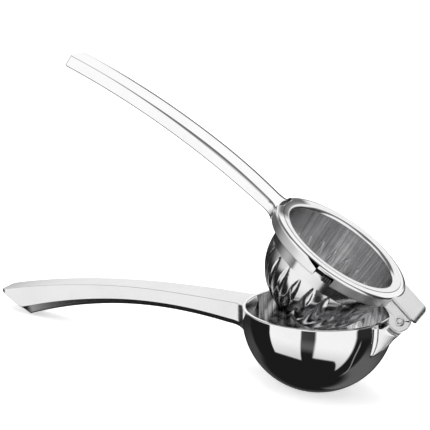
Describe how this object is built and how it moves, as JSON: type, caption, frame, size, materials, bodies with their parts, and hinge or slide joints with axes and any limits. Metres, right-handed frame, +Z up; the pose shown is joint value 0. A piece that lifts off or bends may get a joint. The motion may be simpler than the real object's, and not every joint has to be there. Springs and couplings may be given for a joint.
{
  "type": "citrus press juicer",
  "caption": "Hand-held lever press for a half citrus fruit: a fluted press cup on an arched handle swings into a deep bowl with a matching handle.",
  "frame": {"origin": "middle of the hinge rivet, on its axis, halfway between the two ears", "axes": "+X points away from the bowl and the handles along the press's length, +Y runs along the hinge rivet towards the far ear, +Z up, with the part lying as it does on a worktop: on the bowl's rest flat and the lower handle's heel"},
  "size_m": [0.2227, 0.075, 0.1409],
  "materials": {
    "polished_bowl": "mirror polish",
    "satin_handle": "satin polish",
    "bracket": "mirror polish",
    "ring": "mirror polish",
    "polished_handle": "mirror polish",
    "tail": "mirror polish",
    "ears": "mirror polish",
    "rivet": "satin",
    "washers": "satin",
    "cup": "mirror polish",
    "tabs": "polish"
  },
  "bodies": {
    "lower_arm": {"lower_bowl": "polished_bowl", "lower_handle": "satin_handle", "hinge_bracket": "bracket"},
    "upper_arm": {"press_ring": "ring", "upper_handle": "polished_handle", "tail_plate": "tail", "ear_near": "ears", "ear_far": "ears", "hinge_rivet": "rivet", "washer_near": "washers", "washer_far": "washers"},
    "press_cup": {"press_cup": "cup", "cup_tab_near": "tabs", "cup_tab_far": "tabs"}
  },
  "joints": [
    {"name": "arm_hinge", "type": "hinge", "parent": "lower_arm", "child": "upper_arm", "pos_m": [0, 0, 0], "axis": [0, 1, 0], "range_deg": [-34, 57]},
    {"name": "cup_twist", "type": "hinge", "parent": "upper_arm", "child": "press_cup", "pos_m": [-0.03735, 0, 0.0231], "axis": [0.4401, 0, 0.8979], "range_deg": [-6.8, 0]}
  ]
}
